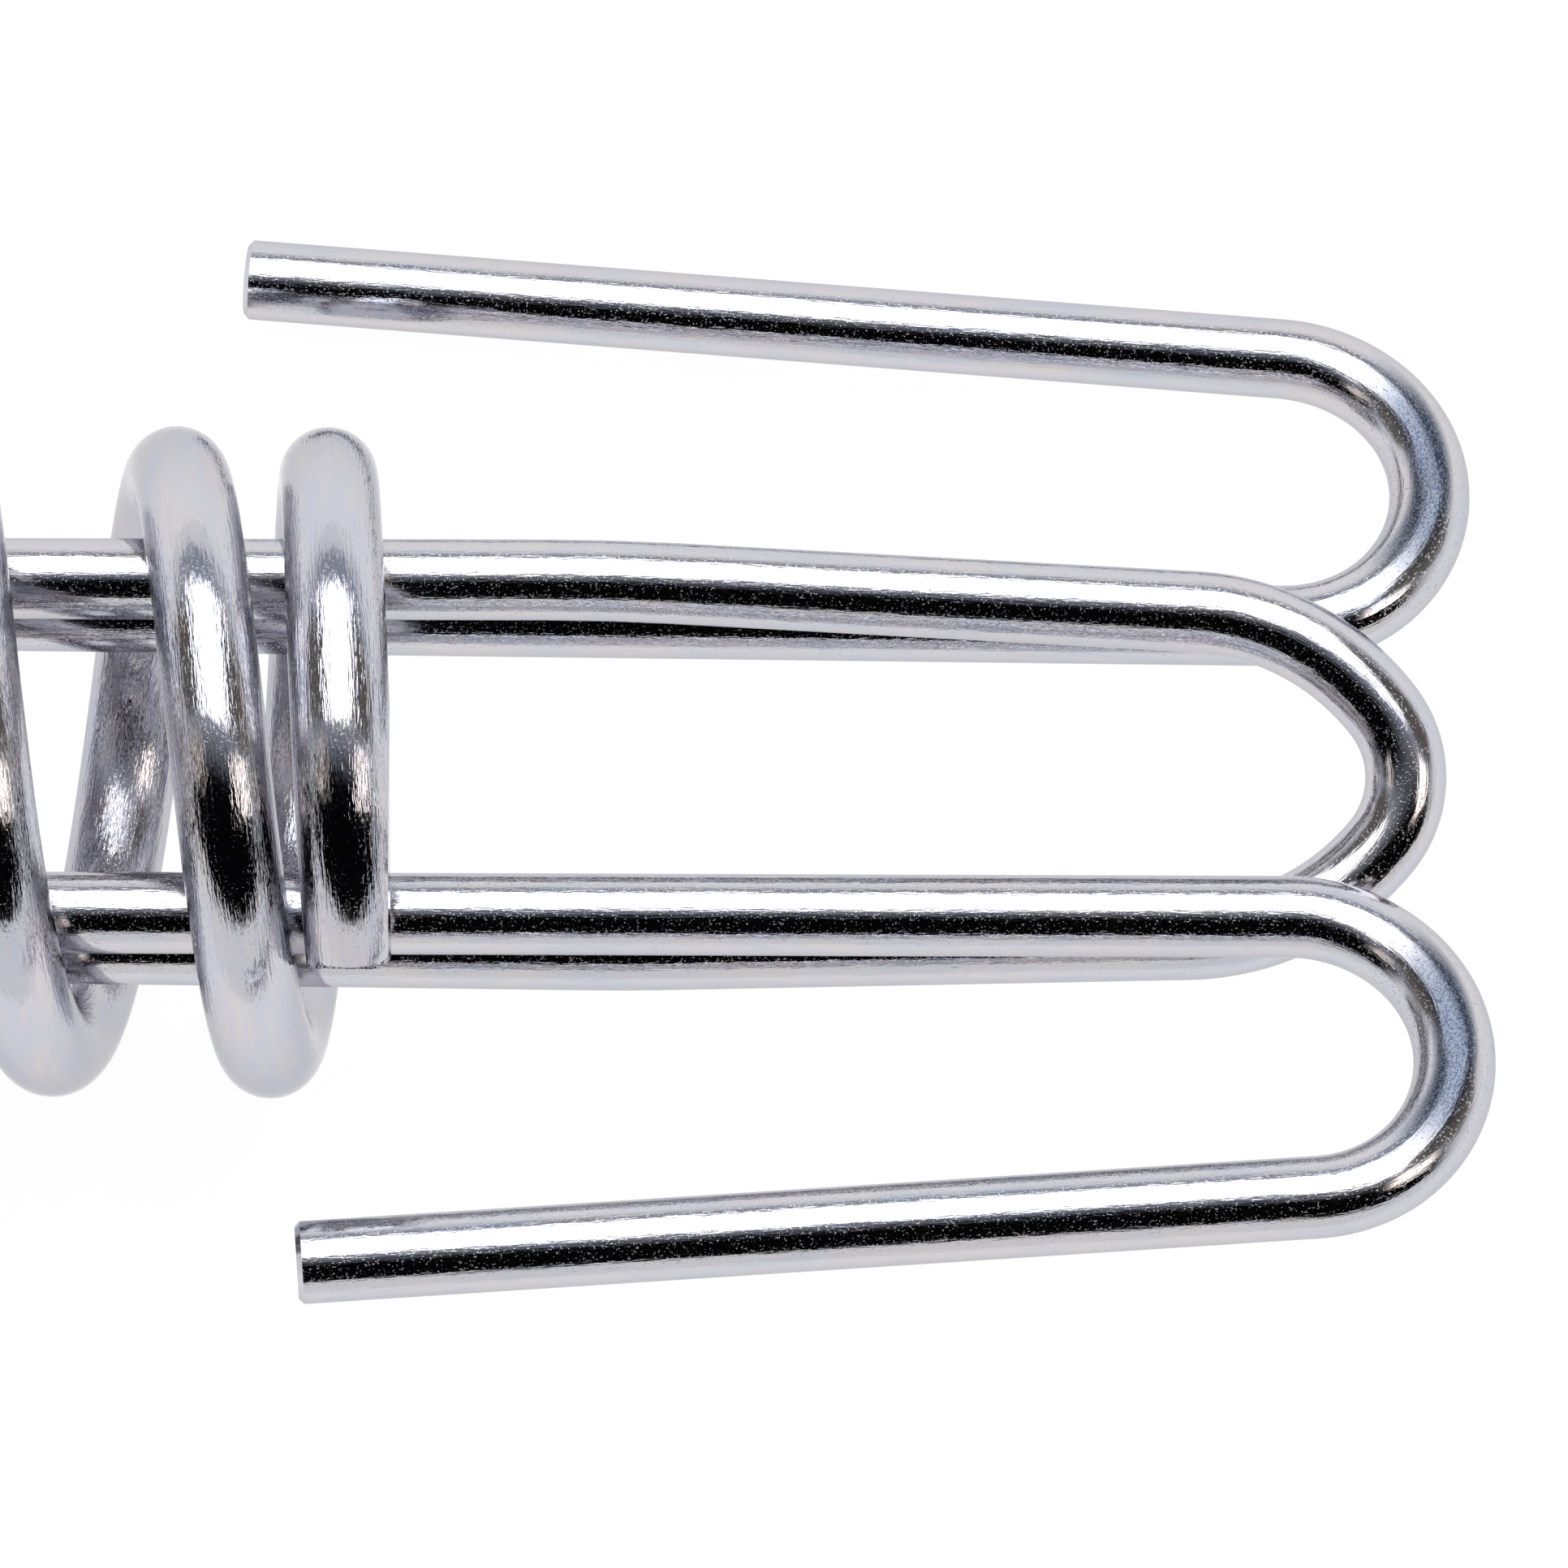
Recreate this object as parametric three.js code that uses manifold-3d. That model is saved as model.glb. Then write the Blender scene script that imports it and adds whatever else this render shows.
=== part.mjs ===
// Drawbar compression spring: a coil with closed and ground ends, and two identical bent-wire yokes.
// Each yoke is one wire that runs through the coil, with an eye at one end and two hooks at the other.
// It is made as three lengths that meet halfway down its legs: the eye and the two hooks.
// Pulled apart by their eyes, the yokes seat their hooks on the coil's ends and squeeze it.
// Millimetres. X runs along the coil, Z is up, and the spring lies on the surface z = 0.

import * as THREE from 'three';
import { mergeVertices } from 'three/addons/utils/BufferGeometryUtils.js';
import Module from 'manifold-3d';

const wasm = await Module();
wasm.setup();

// Coil
const COIL_OUTER_DIAMETER = 32.6;
const COIL_WIRE_DIAMETER = 4.76;
const COIL_LENGTH = 96;
const COIL_TURNS = 9 + 80 / 360;
const RIGHT_TIP_ANGLE = 130; // degrees about +X from +Y, where the wire ends at the right
const CLOSED_PITCH = 5.08;
const CLOSED_TURNS = 0.85; // turns at each end that lie side by side
const OPENING_TURNS = 0.3; // turns over which the pitch opens
const GROUND_DEPTH = 0.73; // ground off the wire's tip, to make a flat end

// Yokes: from the eye's tip outwards, as bends and straights of one wire in one plane
const YOKE_WIRE_DIAMETER = 3.95;
const EYE_REACH = 96.9; // from the spring's middle to the eye's tip, on the wire's centreline
const EYE_TIP_RADIUS = 5.3;
const EYE_TIP_TURN = 38.7; // degrees
const EYE_SIDE_RADIUS = 12.4;
const EYE_SIDE_SPREAD = 2.1; // degrees, by which the legs spread from the eye
const SPREAD_LENGTH = 25.3;
const LEG_BEND_RADIUS = 118;
const EYE_TILT = 0.55; // degrees, by which the eye leans towards the long hook's leg
const EYE_ARM = 40.5; // from the eye's tip to the point that it leans about
const LEG_TOE_IN = 0.29; // degrees, by which the legs close again towards the hooks
const MEETING_X = 0; // where the eye's length of wire meets a hook's, from the spring's middle
const HOOK_START = 91.0; // from the spring's middle to where a hook's bend starts
const HOOK_EASY_RADIUS = 7.9;
const HOOK_TIGHT_RADIUS = 7.13;
const HOOK_EASY_SHARE = 0.71; // of the hook's turn that has the easy radius
const HOOK_OPENING = 4.7; // degrees, by which the free leg spreads away from the coil
const LONG_FREE_END = 39.9; // from the spring's middle to the two wire ends
const SHORT_FREE_END = 43.8;

// How the pieces lie
const LEFT_EYE_ROLL = -30.82; // degrees about +X, so that one of its hooks rests on the surface
const RIGHT_EYE_ROLL = 0;

// Facets
const WIRE_SIDES = 12;
const COIL_STEPS_PER_TURN = 20;
const BEND_STEP = 12; // degrees

const AXIS_HEIGHT = COIL_OUTER_DIAMETER / 2;
const COIL_RADIUS = (COIL_OUTER_DIAMETER - COIL_WIRE_DIAMETER) / 2;
const TIP_X = COIL_LENGTH / 2 - (COIL_WIRE_DIAMETER / 2 - GROUND_DEPTH);

// A centreline through given stations, one step each, so that straights take few steps and bends many.
class WireLine extends THREE.Curve {
  constructor(stations) {
    super();
    this.stations = stations;
  }

  at(share, key) {
    const place = share * (this.stations.length - 1);
    const first = Math.min(Math.floor(place), this.stations.length - 2);
    return this.stations[first][key].clone().lerp(this.stations[first + 1][key], place - first);
  }

  getPoint(share) {
    return this.at(share, 'point');
  }

  getPointAt(share) {
    return this.at(share, 'point');
  }

  getTangentAt(share) {
    return this.at(share, 'tangent').normalize();
  }
}

function roundSection(diameter) {
  const section = new THREE.Shape();
  for (let i = 0; i < WIRE_SIDES; i++) {
    const angle = (2 * Math.PI * i) / WIRE_SIDES;
    const x = (diameter / 2) * Math.cos(angle);
    const y = (diameter / 2) * Math.sin(angle);
    if (i === 0) section.moveTo(x, y);
    else section.lineTo(x, y);
  }
  section.closePath();
  return section;
}

function sweepWire(stations, diameter) {
  const line = new WireLine(stations);
  const settings = { steps: stations.length - 1, bevelEnabled: false, extrudePath: line };
  return new THREE.ExtrudeGeometry(roundSection(diameter), settings);
}

function closedGeometry(geometry) {
  geometry.deleteAttribute('normal');
  geometry.deleteAttribute('uv');
  return mergeVertices(geometry, 1e-4);
}

function toManifold(geometry) {
  const closed = closedGeometry(geometry);
  return new wasm.Manifold(
    new wasm.Mesh({
      numProp: 3,
      vertProperties: new Float32Array(closed.attributes.position.array),
      triVerts: new Uint32Array(closed.index.array),
    }),
  );
}

function fromManifold(solid) {
  const mesh = solid.getMesh();
  const geometry = new THREE.BufferGeometry();
  geometry.setAttribute('position', new THREE.BufferAttribute(mesh.vertProperties, 3));
  geometry.setIndex(new THREE.BufferAttribute(mesh.triVerts, 1));
  geometry.computeVertexNormals();
  return geometry;
}

// The pitch opens steadily from closed to active. This is its running total, in turns from a wire end.
function openingShare(turns) {
  const opened = THREE.MathUtils.clamp((turns - CLOSED_TURNS) / OPENING_TURNS, 0, 1);
  const past = Math.max(turns - CLOSED_TURNS - OPENING_TURNS, 0);
  return (OPENING_TURNS * opened * opened) / 2 + past;
}

// Axial distance from the wire's right end to a point that many turns along it.
function axialDistance(turns) {
  const middle = COIL_TURNS / 2;
  const open = (2 * TIP_X - CLOSED_PITCH * COIL_TURNS) / 2 / openingShare(middle);
  const fromEnd = (n) => CLOSED_PITCH * n + open * openingShare(n);
  if (turns <= middle) return fromEnd(turns);
  return 2 * TIP_X - fromEnd(COIL_TURNS - turns);
}

function coilPoint(turns) {
  const angle = THREE.MathUtils.degToRad(RIGHT_TIP_ANGLE) - 2 * Math.PI * turns;
  return new THREE.Vector3(
    TIP_X - axialDistance(turns),
    COIL_RADIUS * Math.cos(angle),
    COIL_RADIUS * Math.sin(angle),
  );
}

function coilGeometry() {
  const steps = Math.round(COIL_TURNS * COIL_STEPS_PER_TURN);
  const stations = [];
  for (let i = 0; i <= steps; i++) {
    const turns = (COIL_TURNS * i) / steps;
    const ahead = coilPoint(turns + 0.001);
    const behind = coilPoint(turns - 0.001);
    stations.push({ point: coilPoint(turns), tangent: ahead.sub(behind).normalize() });
  }
  const wire = toManifold(sweepWire(stations, COIL_WIRE_DIAMETER));
  const room = 2 * COIL_OUTER_DIAMETER;
  const betweenGrinders = toManifold(new THREE.BoxGeometry(COIL_LENGTH, room, room));
  return fromManifold(wire.intersect(betweenGrinders));
}

// Walks along one wire in a plane, adding a station at each step.
class WireWalk {
  constructor(x, y, headingDegrees) {
    this.x = x;
    this.y = y;
    this.heading = THREE.MathUtils.degToRad(headingDegrees);
    this.stations = [this.station()];
  }

  station() {
    return {
      point: new THREE.Vector3(this.x, this.y, 0),
      tangent: new THREE.Vector3(Math.cos(this.heading), Math.sin(this.heading), 0),
    };
  }

  straight(length) {
    this.x += length * Math.cos(this.heading);
    this.y += length * Math.sin(this.heading);
    this.stations.push(this.station());
    return this;
  }

  // A positive turn goes left, from +X towards +Y.
  bend(radius, turnDegrees) {
    const steps = Math.max(1, Math.ceil(Math.abs(turnDegrees) / BEND_STEP));
    const turn = THREE.MathUtils.degToRad(turnDegrees);
    const side = Math.sign(turn);
    const centreX = this.x - side * radius * Math.sin(this.heading);
    const centreY = this.y + side * radius * Math.cos(this.heading);
    const start = this.heading;
    for (let i = 1; i <= steps; i++) {
      this.heading = start + (turn * i) / steps;
      this.x = centreX + side * radius * Math.sin(this.heading);
      this.y = centreY - side * radius * Math.cos(this.heading);
      this.stations.push(this.station());
    }
    return this;
  }

  straightToX(x) {
    return this.straight((x - this.x) / Math.cos(this.heading));
  }
}

// Half an eye, from its tip at the left down one leg. A positive tilt moves the tip to that side.
function eyeWalk(tilt) {
  const shift = EYE_ARM * Math.sin(THREE.MathUtils.degToRad(tilt));
  const walk = new WireWalk(-EYE_REACH, shift, 90 - tilt);
  walk.bend(EYE_TIP_RADIUS, -EYE_TIP_TURN);
  walk.bend(EYE_SIDE_RADIUS, EYE_TIP_TURN + EYE_SIDE_SPREAD - 90);
  walk.straight(SPREAD_LENGTH);
  walk.bend(LEG_BEND_RADIUS, tilt - EYE_SIDE_SPREAD - LEG_TOE_IN);
  return walk.straightToX(MEETING_X);
}

// The rest of the same leg, round its hook to the wire's end. Both hooks were bent in one pass
// along the wire, so one turns easily at first and tightly at last, and the other the reverse.
function hookWalk(tilt, tightFirst, freeEnd) {
  const walk = eyeWalk(tilt);
  walk.stations = [walk.station()];
  walk.straightToX(HOOK_START);
  const hookTurn = 180 + LEG_TOE_IN - HOOK_OPENING;
  const bends = [
    [HOOK_EASY_RADIUS, hookTurn * HOOK_EASY_SHARE],
    [HOOK_TIGHT_RADIUS, hookTurn * (1 - HOOK_EASY_SHARE)],
  ];
  if (tightFirst) bends.reverse();
  for (const [radius, turn] of bends) walk.bend(radius, turn);
  return walk.straightToX(freeEnd);
}

// Reflected about the yoke's own axis and run backwards.
function mirroredAndReversed(stations) {
  const mirrored = stations.map(({ point, tangent }) => ({
    point: new THREE.Vector3(point.x, -point.y, 0),
    tangent: new THREE.Vector3(-tangent.x, tangent.y, 0),
  }));
  return mirrored.reverse();
}

const zincCoil = new THREE.MeshStandardMaterial({ color: 0xc4c8cd, roughness: 0.22, metalness: 1 });
const zincYoke = new THREE.MeshStandardMaterial({ color: 0xcdd0d3, roughness: 0.18, metalness: 1 });

// A whole yoke about the X axis, with its eye at the left and its hooks at the right.
function yoke(name, rollDegrees) {
  const longSide = eyeWalk(EYE_TILT).stations;
  const shortSide = mirroredAndReversed(eyeWalk(-EYE_TILT).stations);
  const lengths = {
    eye: [...shortSide.slice(0, -1), ...longSide],
    long_hook: hookWalk(EYE_TILT, true, LONG_FREE_END).stations,
    short_hook: mirroredAndReversed(hookWalk(-EYE_TILT, false, SHORT_FREE_END).stations),
  };
  const whole = new THREE.Group();
  for (const [length, stations] of Object.entries(lengths)) {
    const mesh = new THREE.Mesh(sweepWire(stations, YOKE_WIRE_DIAMETER), zincYoke);
    mesh.name = `${name}_${length}`;
    whole.add(mesh);
  }
  whole.rotation.x = THREE.MathUtils.degToRad(rollDegrees);
  return whole;
}

const onAxis = new THREE.Group();
onAxis.position.z = AXIS_HEIGHT;

const coilSpring = new THREE.Mesh(coilGeometry(), zincCoil);
coilSpring.name = 'coil_spring';
onAxis.add(coilSpring);

onAxis.add(yoke('left_yoke', LEFT_EYE_ROLL));

const turnedAround = new THREE.Group();
turnedAround.rotation.z = Math.PI;
turnedAround.add(yoke('right_yoke', RIGHT_EYE_ROLL));
onAxis.add(turnedAround);

const group = new THREE.Group();
group.add(onAxis);

export default group;
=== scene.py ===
"""Looks for the drawbar spring: a zinc-plated coil and two bent-wire yokes, on a white floor.

Lengths are in metres, in the row frame: +X along the coil, +Z up, with the floor at z = 0.
The three wires are the CAD's own centrelines, swept finely.
"""

import math

import bpy
import numpy as np
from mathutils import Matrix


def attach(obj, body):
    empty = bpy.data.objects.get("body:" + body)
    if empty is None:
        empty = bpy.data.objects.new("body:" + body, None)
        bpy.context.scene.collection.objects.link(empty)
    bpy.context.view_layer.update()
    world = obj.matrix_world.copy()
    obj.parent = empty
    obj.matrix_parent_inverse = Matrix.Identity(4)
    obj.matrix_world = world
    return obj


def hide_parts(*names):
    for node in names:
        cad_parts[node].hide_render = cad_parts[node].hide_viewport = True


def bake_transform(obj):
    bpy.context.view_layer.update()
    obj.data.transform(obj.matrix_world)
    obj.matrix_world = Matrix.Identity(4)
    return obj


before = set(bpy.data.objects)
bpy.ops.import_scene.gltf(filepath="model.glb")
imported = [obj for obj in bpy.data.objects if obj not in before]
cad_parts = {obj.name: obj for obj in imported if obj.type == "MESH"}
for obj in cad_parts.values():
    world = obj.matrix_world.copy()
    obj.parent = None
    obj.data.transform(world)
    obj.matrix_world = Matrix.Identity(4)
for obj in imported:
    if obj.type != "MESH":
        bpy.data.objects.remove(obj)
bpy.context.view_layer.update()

MM = 0.001

# The coil
COIL_OUTER_DIAMETER = 32.6 * MM
COIL_WIRE_RADIUS = 4.76 * MM / 2
COIL_LENGTH = 96 * MM
COIL_TURNS = 9 + 80 / 360
RIGHT_TIP_ANGLE = 130  # degrees about +X from +Y
CLOSED_PITCH = 5.08 * MM
CLOSED_TURNS = 0.85
OPENING_TURNS = 0.3
GROUND_DEPTH = 0.73 * MM
COIL_RADIUS = COIL_OUTER_DIAMETER / 2 - COIL_WIRE_RADIUS
COIL_END_X = COIL_LENGTH / 2
TIP_X = COIL_END_X - (COIL_WIRE_RADIUS - GROUND_DEPTH)
SHEAR_Y = 9.8 * MM  # the wire was cropped by a blade square to Y, this far from the axis
WORN_CORNER = 0.75 * MM  # radius between the cropped end and the ground one
END_TURNS = 0.3  # no blade reaches further than this along the wire
SPARE_TURNS = 0.06  # of wire past the CAD's ends, for the blade to crop

# The yokes
YOKE_WIRE_RADIUS = 3.95 * MM / 2
EYE_REACH = 96.9 * MM
EYE_TIP_RADIUS = 5.3 * MM
EYE_TIP_TURN = 38.7
EYE_SIDE_RADIUS = 12.4 * MM
EYE_SIDE_SPREAD = 2.1
SPREAD_LENGTH = 25.3 * MM
LEG_BEND_RADIUS = 118 * MM
EYE_TILT = 0.55  # degrees that the eye leans to the long hook's side
EYE_ARM = 40.5 * MM  # from the eye's tip to the point that it leans about
LEG_TOE_IN = 0.29
HOOK_START = 91.0 * MM
HOOK_EASY_RADIUS = 7.9 * MM
HOOK_TIGHT_RADIUS = 7.13 * MM
HOOK_EASY_SHARE = 0.71
HOOK_OPENING = 4.7
LONG_FREE_END = 39.9 * MM
SHORT_FREE_END = 43.8 * MM
LEFT_EYE_ROLL = -30.82
RIGHT_EYE_ROLL = 0
WORN_END = 0.25 * MM  # chamfer round the wire's cut ends

AXIS_HEIGHT = COIL_OUTER_DIAMETER / 2

# Facets
WIRE_SIDES = 48
COIL_STEPS_PER_TURN = 144
BEND_STEP = 1.5  # degrees
STRAIGHT_STEP = 1.2 * MM
SHARP_ANGLE = 32  # degrees between faces, above which their edge is crisp
TINY_TURN = 1e-4
TOUCHING = 1e-6  # metres


# ---------------------------------------------------------------- wires as meshes


def opening_share(turns):
    opened = np.clip((turns - CLOSED_TURNS) / OPENING_TURNS, 0, 1)
    past = np.maximum(turns - CLOSED_TURNS - OPENING_TURNS, 0)
    return OPENING_TURNS * opened * opened / 2 + past


def axial_distance(turns):
    """Along X from the wire's right end to the points that many turns along it."""
    middle = COIL_TURNS / 2
    opened = (2 * TIP_X - CLOSED_PITCH * COIL_TURNS) / 2 / opening_share(middle)
    near = CLOSED_PITCH * turns + opened * opening_share(turns)
    rest = COIL_TURNS - turns
    far = 2 * TIP_X - CLOSED_PITCH * rest - opened * opening_share(rest)
    return np.where(turns <= middle, near, far)


def coil_points(turns):
    angle = math.radians(RIGHT_TIP_ANGLE) - 2 * math.pi * turns
    return np.stack(
        [
            TIP_X - axial_distance(turns),
            COIL_RADIUS * np.cos(angle),
            COIL_RADIUS * np.sin(angle) + AXIS_HEIGHT,
        ],
        -1,
    )


def unit(v):
    return v / np.linalg.norm(v, axis=-1, keepdims=True)


def ring_faces(count, sides):
    """The quads between neighbouring rings, and a cap at each end."""
    faces = []
    for i in range(count - 1):
        for k in range(sides):
            j = (k + 1) % sides
            faces.append((i * sides + k, (i + 1) * sides + k, (i + 1) * sides + j, i * sides + j))
    faces.append(tuple(range(sides)))
    faces.append(tuple(reversed(range((count - 1) * sides, count * sides))))
    return faces


def mark_points(mesh, along, count, sides, marks):
    """Keeps wire_space, a point's place round and along its wire, and the other marks."""
    turn = np.linspace(0, 2 * math.pi, sides, endpoint=False)
    place = np.zeros((count, sides, 3), np.float32)
    place[:, :, 0] = np.cos(turn)
    place[:, :, 1] = np.sin(turn)
    place[:, :, 2] = along[:, None]
    wire_space = mesh.attributes.new("wire_space", "FLOAT_VECTOR", "POINT")
    wire_space.data.foreach_set("vector", place.ravel())
    for key, values in marks.items():
        spread = np.broadcast_to(values, (count, sides)).astype(np.float32)
        mark = mesh.attributes.new(key, "FLOAT", "POINT")
        mark.data.foreach_set("value", spread.ravel())


def tube(name, rings, along, marks, material):
    """One wire through rings of points, capped at both ends."""
    count, sides = rings.shape[:2]
    mesh = bpy.data.meshes.new(name)
    mesh.from_pydata(rings.reshape(-1, 3).tolist(), [], ring_faces(count, sides))
    mesh.update()
    mesh.shade_smooth()
    mesh.set_sharp_from_angle(angle=math.radians(SHARP_ANGLE))
    mark_points(mesh, along, count, sides, marks)
    mesh.materials.append(material)
    obj = bpy.data.objects.new(name, mesh)
    bpy.context.scene.collection.objects.link(obj)
    return obj


def coil_mesh(material):
    """The coil, cropped square to Y at both wire ends, and ground flat across both coil ends."""
    steps = int(round((COIL_TURNS + 2 * SPARE_TURNS) * COIL_STEPS_PER_TURN))
    turns = np.linspace(-SPARE_TURNS, COIL_TURNS + SPARE_TURNS, steps + 1)
    rings = coil_rings(turns)
    crop_ends(rings, turns)
    near_end = (turns < END_TURNS) | (turns > COIL_TURNS - END_TURNS)
    on_blade = np.abs(np.abs(rings[..., 1]) - SHEAR_Y) < TOUCHING
    marks = {"strain": 0.0, "cropped": near_end[:, None] & on_blade}
    round_corners(rings, near_end)
    along = turns * 2 * math.pi * COIL_RADIUS
    coil = tube("coil", rings, along, marks, material)
    let_shorten(coil)
    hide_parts("coil_spring")
    return coil


def coil_rings(turns):
    """Rings of points round the coil's wire, flat where they meet the two ground planes."""
    centre = coil_points(turns)
    tangent = unit(coil_points(turns + TINY_TURN) - coil_points(turns - TINY_TURN))
    axis_point = centre.copy()
    axis_point[:, 1] = 0
    axis_point[:, 2] = AXIS_HEIGHT
    outward = unit(centre - axis_point)
    sideways = np.cross(tangent, outward)
    angle = np.linspace(0, 2 * math.pi, WIRE_SIDES, endpoint=False)
    angles = np.tile(angle, (len(turns), 1))
    snap_to_ground(angles, centre[:, 0], sideways[:, 0])
    rings = (
        centre[:, None]
        + COIL_WIRE_RADIUS * np.cos(angles)[..., None] * outward[:, None]
        + COIL_WIRE_RADIUS * np.sin(angles)[..., None] * sideways[:, None]
    )
    rings[..., 0] = np.clip(rings[..., 0], -COIL_END_X, COIL_END_X)
    return rings


def let_shorten(coil):
    """Bakes the coil's transform into its mesh."""
    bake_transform(coil)


def snap_to_ground(angles, centre_x, side_x):
    """Moves the ring points nearest to the ground planes onto them, so that each edge is crisp."""
    spacing = 2 * math.pi / WIRE_SIDES
    for i in range(len(centre_x)):
        for plane in (COIL_END_X, -COIL_END_X):
            sine = (plane - centre_x[i]) / (COIL_WIRE_RADIUS * side_x[i])
            if abs(sine) >= 1:
                continue
            first = math.asin(sine)
            for crossing in (first, math.pi - first):
                k = int(round((crossing % (2 * math.pi)) / spacing)) % WIRE_SIDES
                angles[i, k] = crossing


def crop_ends(rings, turns):
    """Slides the points past each blade plane back along the wire, onto the plane."""
    for side in (-1, 1):
        near = turns < END_TURNS if side < 0 else turns > COIL_TURNS - END_TURNS
        order = np.where(near)[0]
        if side > 0:
            order = order[::-1]
        for k in range(rings.shape[1]):
            inside = rings[order, k, 1] * side < SHEAR_Y
            last = len(order) - 1
            while last > 0 and inside[last]:
                last -= 1
            if last == len(order) - 1:
                continue
            outside = rings[order[last], k]
            kept = rings[order[last + 1], k]
            share = (side * SHEAR_Y - outside[1]) / (kept[1] - outside[1])
            edge = outside + np.clip(share, 0, 1) * (kept - outside)
            rings[order[: last + 1], k] = edge


def round_corners(rings, near_end):
    """Wears the corner between each cropped end and its ground one to an arc, seen from above."""
    for side in (1, -1):
        out_x = rings[..., 0] * side - (COIL_END_X - WORN_CORNER)
        out_y = rings[..., 1] * -side - (SHEAR_Y - WORN_CORNER)
        reach = np.hypot(out_x, out_y)
        worn = near_end[:, None] & (out_x > 0) & (out_y > 0) & (reach > WORN_CORNER)
        shrink = np.where(worn, WORN_CORNER / np.maximum(reach, WORN_CORNER), 1)
        rings[..., 0] = np.where(worn, side * (COIL_END_X - WORN_CORNER + out_x * shrink), rings[..., 0])
        rings[..., 1] = np.where(worn, -side * (SHEAR_Y - WORN_CORNER + out_y * shrink), rings[..., 1])


class WireWalk:
    """Walks along one wire in a plane, keeping stations: x, y, heading and length."""

    def __init__(self, x, y, heading):
        self.x = x
        self.y = y
        self.heading = math.radians(heading)
        self.length = 0.0
        self.stations = []
        self.keep()

    def keep(self):
        self.stations.append((self.x, self.y, self.heading, self.length))

    def straight(self, length):
        steps = max(1, math.ceil(length / STRAIGHT_STEP))
        for _ in range(steps):
            self.x += length / steps * math.cos(self.heading)
            self.y += length / steps * math.sin(self.heading)
            self.length += length / steps
            self.keep()
        return self

    def bend(self, radius, turn):
        steps = max(1, math.ceil(abs(turn) / BEND_STEP))
        turn = math.radians(turn)
        side = math.copysign(1, turn)
        centre_x = self.x - side * radius * math.sin(self.heading)
        centre_y = self.y + side * radius * math.cos(self.heading)
        start = self.heading
        for i in range(1, steps + 1):
            self.heading = start + turn * i / steps
            self.x = centre_x + side * radius * math.sin(self.heading)
            self.y = centre_y - side * radius * math.cos(self.heading)
            self.length += radius * abs(turn) / steps
            self.keep()
        return self

    def straight_to_x(self, x):
        return self.straight((x - self.x) / math.cos(self.heading))


def half_yoke(tilt, tight_first, free_end):
    """From the middle of the eye along one leg, round its hook and back to the wire's end."""
    walk = WireWalk(-EYE_REACH, EYE_ARM * math.sin(math.radians(tilt)), 90 - tilt)
    walk.bend(EYE_TIP_RADIUS, -EYE_TIP_TURN)
    walk.bend(EYE_SIDE_RADIUS, EYE_TIP_TURN + EYE_SIDE_SPREAD - 90)
    walk.straight(SPREAD_LENGTH)
    walk.bend(LEG_BEND_RADIUS, tilt - EYE_SIDE_SPREAD - LEG_TOE_IN)
    walk.straight_to_x(HOOK_START)
    hook_turn = 180 + LEG_TOE_IN - HOOK_OPENING
    bends = [
        (HOOK_EASY_RADIUS, hook_turn * HOOK_EASY_SHARE),
        (HOOK_TIGHT_RADIUS, hook_turn * (1 - HOOK_EASY_SHARE)),
    ]
    if tight_first:
        bends.reverse()
    for radius, turn in bends:
        walk.bend(radius, turn)
    walk.straight_to_x(free_end)
    return np.array(walk.stations)


def yoke_stations():
    """One yoke from its short free end, round the eye, to its long free end."""
    upper = half_yoke(EYE_TILT, True, LONG_FREE_END)
    lower = half_yoke(-EYE_TILT, False, SHORT_FREE_END)[::-1].copy()
    lower[:, 1] *= -1
    lower[:, 2] = math.pi - lower[:, 2]
    lower[:, 3] *= -1
    return np.concatenate([lower[:-1], upper])


def yoke_mesh(name, roll, turned_around, material):
    """One unbroken yoke. Its mark strain rises to 1 halfway round each hook's bend."""
    stations = yoke_stations()
    heading = stations[:, 2]
    centre = np.stack([stations[:, 0], stations[:, 1], np.zeros(len(stations))], -1)
    normal = np.stack([-np.sin(heading), np.cos(heading), np.zeros(len(stations))], -1)
    upright = np.tile([0.0, 0.0, 1.0], (len(stations), 1))
    angle = np.linspace(0, 2 * math.pi, WIRE_SIDES, endpoint=False)
    rings = (
        centre[:, None]
        + YOKE_WIRE_RADIUS * np.cos(angle)[None, :, None] * normal[:, None]
        + YOKE_WIRE_RADIUS * np.sin(angle)[None, :, None] * upright[:, None]
    )
    rings = with_worn_ends(rings, centre)
    along = np.concatenate([stations[:1, 3], stations[:, 3], stations[-1:, 3]])
    strain = np.where(stations[:, 0] > HOOK_START, np.abs(np.sin(heading)), 0)
    strain = np.concatenate([strain[:1], strain, strain[-1:]])
    rings = rolled(rings, roll)
    if turned_around:
        rings[..., :2] *= -1
    rings[..., 2] += AXIS_HEIGHT
    return tube(name, rings, along, {"strain": strain[:, None]}, material)


def with_worn_ends(rings, centre):
    """Adds a smaller ring at each wire end, so that the cut's edge is slightly worn."""
    shrink = 1 - WORN_END / YOKE_WIRE_RADIUS
    ends = []
    for here, inner in ((0, 1), (-1, -2)):
        out = unit(centre[here] - centre[inner])
        ends.append(centre[here] + (rings[here] - centre[here]) * shrink)
        rings[here] = rings[here] - out * WORN_END
    return np.concatenate([ends[0][None], rings, ends[1][None]])


def rolled(points, degrees):
    turn = math.radians(degrees)
    y = points[..., 1] * math.cos(turn) - points[..., 2] * math.sin(turn)
    z = points[..., 1] * math.sin(turn) + points[..., 2] * math.cos(turn)
    return np.stack([points[..., 0], y, z], -1)


# ---------------------------------------------------------------- materials

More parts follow.
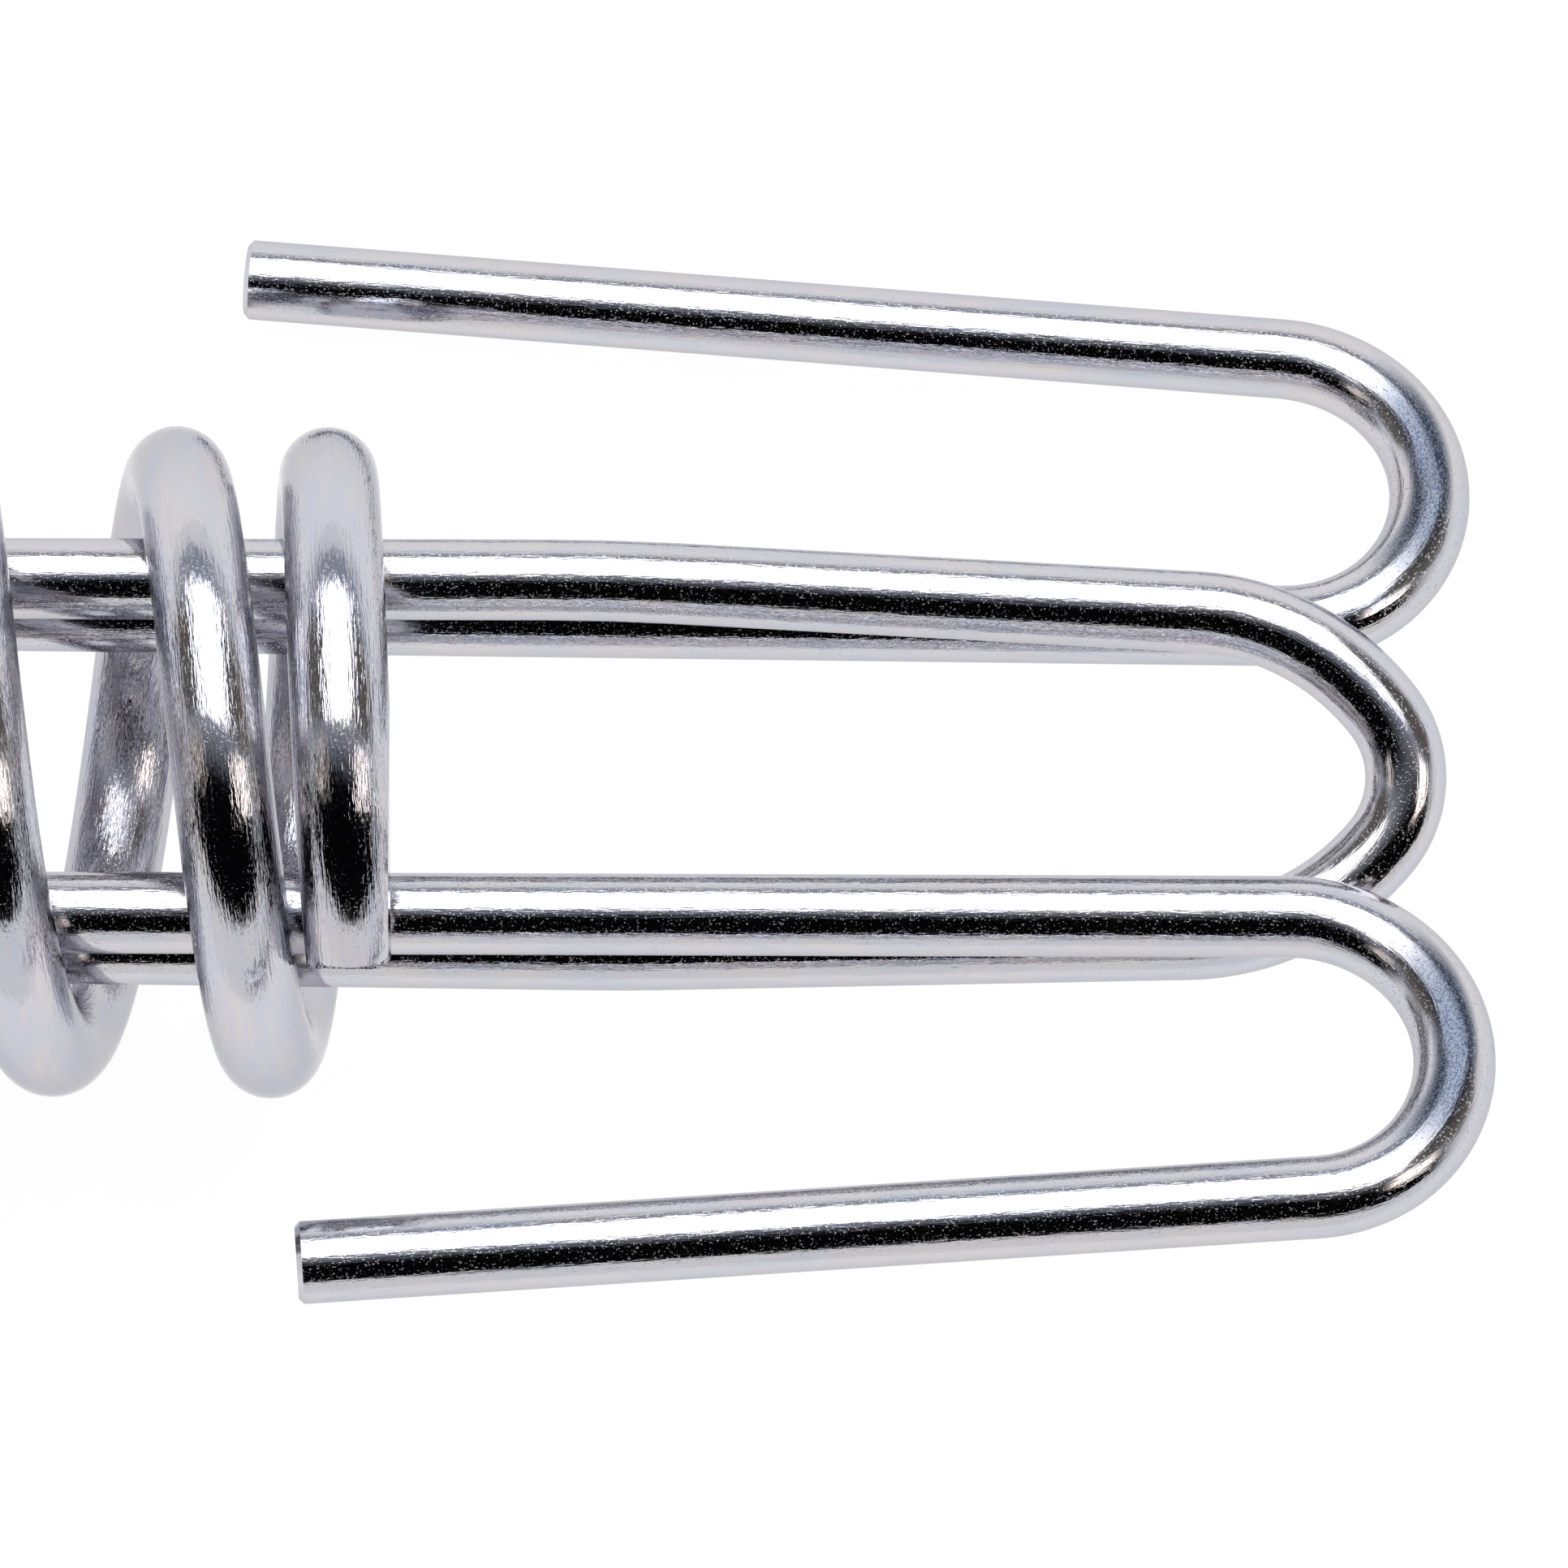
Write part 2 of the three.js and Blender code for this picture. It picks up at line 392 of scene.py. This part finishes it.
COOL = (0.54, 0.57, 0.65, 1)
WARM = (0.64, 0.61, 0.61, 1)
# painted shade: dark blue-grey that dims the reflection on top of the hooks' bends
BEND_SHADE = (0.06, 0.085, 0.14, 1)
BURR = (0.02, 0.02, 0.025, 1)
RELIEF = 0.012 * MM  # depth of the drawn lines and pits


def node(tree, kind, inputs=None, **settings):
    made = tree.nodes.new(kind)
    for key, value in settings.items():
        setattr(made, key, value)
    for key, value in (inputs or {}).items():
        if isinstance(value, bpy.types.NodeSocket):
            tree.links.new(value, made.inputs[key])
        else:
            made.inputs[key].default_value = value
    return made


def maths(tree, operation, *values):
    return node(tree, "ShaderNodeMath", dict(enumerate(values)), operation=operation).outputs[0]


def ramp(tree, value, low, high, to_low=0.0, to_high=1.0):
    inputs = {0: value, 1: low, 2: high, 3: to_low, 4: to_high}
    return node(tree, "ShaderNodeMapRange", inputs, interpolation_type="SMOOTHSTEP").outputs[0]


def product(tree, first, *others):
    for other in others:
        first = maths(tree, "MULTIPLY", first, other)
    return first


def wire_mark(tree, name):
    return node(tree, "ShaderNodeAttribute", attribute_name=name).outputs["Fac"]


def wire_place(tree):
    return node(tree, "ShaderNodeAttribute", attribute_name="wire_space").outputs["Vector"]


def wire_vector(tree, across, along):
    """The place on the wire, with that many noise cells per radian round it and per metre."""
    inputs = {0: wire_place(tree), 1: (across, across, along)}
    return node(tree, "ShaderNodeVectorMath", inputs, operation="MULTIPLY").outputs[0]


def noise(tree, across, along, detail=2.0, roughness=0.5):
    inputs = {"Vector": wire_vector(tree, across, along), "Scale": 1.0, "Detail": detail}
    made = node(tree, "ShaderNodeTexNoise", inputs)
    made.inputs["Roughness"].default_value = roughness
    return made.outputs[0]


def blended(tree, factor, first, second):
    mix = node(tree, "ShaderNodeMix", data_type="RGBA")
    for socket, value in ((0, factor), (6, first), (7, second)):
        if isinstance(value, bpy.types.NodeSocket):
            tree.links.new(value, mix.inputs[socket])
        else:
            mix.inputs[socket].default_value = value
    return mix.outputs[2]


def zinc(name, streaks, pits, base):
    """Bright zinc plate over drawn wire, with lines along it and fine pits."""
    material = bpy.data.materials.new(name)
    material.use_nodes = True
    tree = material.node_tree
    shader = tree.nodes["Principled BSDF"]
    shader.inputs["Metallic"].default_value = 1.0
    shader.inputs["Specular Tint"].default_value = (0.72, 0.72, 0.74, 1)
    strained = ramp(tree, wire_mark(tree, "strain"), 0.55, 0.95)
    lines = noise(tree, 8.0, 320.0, 3.0, 0.6)
    fine_lines = noise(tree, 17.0, 1000.0, 2.0, 0.6)
    grains = noise(tree, 17.0, 7500.0, 2.0, 0.6)

    colour = plate_colour(tree, base, lines)
    # painted shade along the top of the hooks' bends, where their reflection is dimmed
    colour = blended(tree, bend_shade_share(tree, strained, grains), colour, BEND_SHADE)
    colour = blended(tree, burr_share(tree, grains), colour, BURR)
    tree.links.new(colour, shader.inputs["Base Color"])

    rough = ramp(tree, fine_lines, 0.35, 0.75, 0.04, 0.12)
    rougher = maths(tree, "ADD", rough, product(tree, strained, 0.08))
    tree.links.new(rougher, shader.inputs["Roughness"])

    drawn = drawn_height(tree, lines, fine_lines)
    pitted = pit_depth(tree, strained, grains, pits)
    height = maths(tree, "SUBTRACT", product(tree, drawn, streaks), pitted)
    bump = node(tree, "ShaderNodeBump", {"Height": height, "Strength": 1.0, "Distance": RELIEF})
    tree.links.new(bump.outputs[0], shader.inputs["Normal"])
    return material


def plate_colour(tree, base, lines):
    """The base colour along some of the drawn lines, and a cool or a warm cast along the others."""
    blotches = noise(tree, 1.6, 220.0, 3.0, 0.55)
    cast = blended(tree, ramp(tree, blotches, 0.35, 0.65), COOL, WARM)
    return blended(tree, ramp(tree, lines, 0.3, 0.7), base, cast)


def bend_shade_share(tree, strained, grains):
    """Painted shade: a dark blue-grey, speckled line along the top of the hooks' bends, which dims their
    reflection there.
    """
    upwards = node(tree, "ShaderNodeSeparateXYZ", {0: wire_place(tree)}).outputs[1]
    top = ramp(tree, upwards, 0.80, 0.96)
    speckle = ramp(tree, grains, 0.62, 0.38, 0.70, 1.0)
    return product(tree, strained, top, speckle)


def burr_share(tree, grains):
    """The rough, dark face where the coil's wire was cropped."""
    face = ramp(tree, wire_mark(tree, "cropped"), 0.08, 0.3)
    return product(tree, face, ramp(tree, grains, 0.42, 0.55))


def drawn_height(tree, lines, fine_lines):
    return maths(tree, "ADD", product(tree, lines, 2.5), product(tree, fine_lines, 2.7))


def pit_depth(tree, strained, grains, pits):
    deepest = maths(tree, "ADD", product(tree, strained, 1.6), pits)
    return product(tree, ramp(tree, grains, 0.60, 0.72), deepest)


def floor_material():
    """A white sweep that glows, so that it stays white round the object."""
    material = bpy.data.materials.new("white_floor")
    material.use_nodes = True
    tree = material.node_tree
    shader = tree.nodes["Principled BSDF"]
    grain = node(tree, "ShaderNodeTexNoise", {"Scale": 900.0, "Detail": 2.0}).outputs[0]
    shade = blended(tree, grain, (0.16, 0.16, 0.16, 1), (0.18, 0.18, 0.18, 1))
    tree.links.new(shade, shader.inputs["Base Color"])
    shader.inputs["Roughness"].default_value = 0.9
    shader.inputs["Specular IOR Level"].default_value = 0.0
    shader.inputs["Emission Color"].default_value = (1, 1, 1, 1)
    shader.inputs["Emission Strength"].default_value = 0.93
    return material


# ---------------------------------------------------------------- studio

WHITE_LIGHT = (1, 1, 1)
COOL_LIGHT = (0.92, 0.97, 1.1)
WARM_LIGHT = (1.1, 0.98, 0.88)


def window(tree, value, low, low_soft, high, high_soft):
    """1 between low and high, with a soft edge at each, and 0 outside."""
    rise = ramp(tree, value, low - low_soft, low + low_soft)
    fall = ramp(tree, value, high + high_soft, high - high_soft)
    return maths(tree, "MULTIPLY", rise, fall)


def lit(colour, level):
    return (*[c * level for c in colour], 1)


def studio_world():
    world = bpy.data.worlds.new("studio")
    bpy.context.scene.world = world
    world.use_nodes = True
    tree = world.node_tree
    background = tree.nodes["Background"]
    direction = node(tree, "ShaderNodeTexCoord").outputs["Generated"]
    x, y, z = node(tree, "ShaderNodeSeparateXYZ", {0: direction}).outputs
    degrees = 180 / math.pi
    lean = maths(tree, "MULTIPLY", maths(tree, "ARCTAN2", y, z), degrees)
    sway = maths(tree, "MULTIPLY", maths(tree, "ARCSINE", x), degrees)
    light = room_light(tree, lean, maths(tree, "ABSOLUTE", sway))
    light = lamp_light(tree, light, lean, sway)
    tree.links.new(light, background.inputs["Color"])
    background.inputs["Strength"].default_value = 1.0
    return world


def room_light(tree, lean, width):
    """White all round, dark overhead, and one softbox on the +Y side between grey flanks.

    lean is degrees from overhead towards +Y, and width is degrees towards either +X or -X.
    """
    light = lit(WHITE_LIGHT, 0.9)
    flanks = product(tree, window(tree, lean, 10, 6, 68, 4), ramp(tree, width, 84, 66))
    light = blended(tree, flanks, light, lit(WARM_LIGHT, 0.13))
    dip = product(tree, window(tree, lean, 62, 4, 79, 4), ramp(tree, width, 64, 40))
    light = blended(tree, dip, light, lit(COOL_LIGHT, 0.38))
    dark = product(tree, window(tree, lean, -57, 3, 15, 5), ramp(tree, width, 84, 60))
    overhead = blended(tree, ramp(tree, lean, -9, 15), lit(COOL_LIGHT, 0.002), lit(COOL_LIGHT, 0.34))
    light = blended(tree, dark, light, overhead)
    softbox = product(tree, window(tree, lean, 15, 3, 65, 3), ramp(tree, width, 34, 27))
    return blended(tree, softbox, light, lit(WHITE_LIGHT, 2.6))


def lamp_light(tree, light, lean, sway):
    """Adds two small warm lamps overhead, the brighter one towards +X. sway is degrees towards +X."""
    height = window(tree, lean, -16, 3, 8, 5)
    near_lamp = product(tree, height, window(tree, sway, 37, 4, 58, 4))
    light = blended(tree, near_lamp, light, lit(WARM_LIGHT, 2.4))
    far_lamp = product(tree, height, window(tree, sway, -56, 4, -42, 4))
    return blended(tree, far_lamp, light, lit(WARM_LIGHT, 0.8))


def floor():
    half = 3.0  # of its width, in metres
    mesh = bpy.data.meshes.new("floor")
    corners = [(-half, -half, 0), (half, -half, 0), (half, half, 0), (-half, half, 0)]
    mesh.from_pydata(corners, [], [(0, 1, 2, 3)])
    mesh.materials.append(floor_material())
    obj = bpy.data.objects.new("floor", mesh)
    obj.location.z = -0.05 * MM  # just clear of the coil that lies on it
    bpy.context.scene.collection.objects.link(obj)
    return obj


def camera():
    """Straight down over the right end, far back, as in a close-up of half the spring."""
    data = bpy.data.cameras.new("camera")
    obj = bpy.data.objects.new("camera", data)
    bpy.context.scene.collection.objects.link(obj)
    distance = 630 * MM  # from the coil's axis
    seen_width = 76.06 * MM  # across the picture, at the coil's axis
    data.sensor_width = 36
    data.lens = data.sensor_width * distance / seen_width
    data.clip_start = 0.01
    data.clip_end = 10
    past_end = 18.74 * MM  # from the coil's right end to the picture's middle
    below_axis = 0.85 * MM
    turn = 0.44  # degrees that the camera is turned about its own line of sight
    obj.location = (COIL_END_X + past_end, -below_axis, AXIS_HEIGHT + distance)
    obj.rotation_euler = (0, 0, math.radians(turn))
    bpy.context.scene.camera = obj
    return obj


# ---------------------------------------------------------------- making

scene = bpy.context.scene
scene.view_settings.view_transform = "Standard"
camera()
studio_world()
floor()

zinc_coil = zinc("zinc_coil", streaks=1.0, pits=0.25, base=(0.58, 0.577, 0.64, 1))
zinc_yoke = zinc("zinc_yoke", streaks=0.3, pits=0.5, base=(0.61, 0.60, 0.64, 1))

coil_mesh(zinc_coil)
for side, roll, turned in (("left", LEFT_EYE_ROLL, False), ("right", RIGHT_EYE_ROLL, True)):
    wire = yoke_mesh(f"{side}_yoke", roll, turned, zinc_yoke)
    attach(wire, f"{side}_eye_yoke")
    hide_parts(*[f"{side}_yoke_{part}" for part in ("eye", "long_hook", "short_hook")])
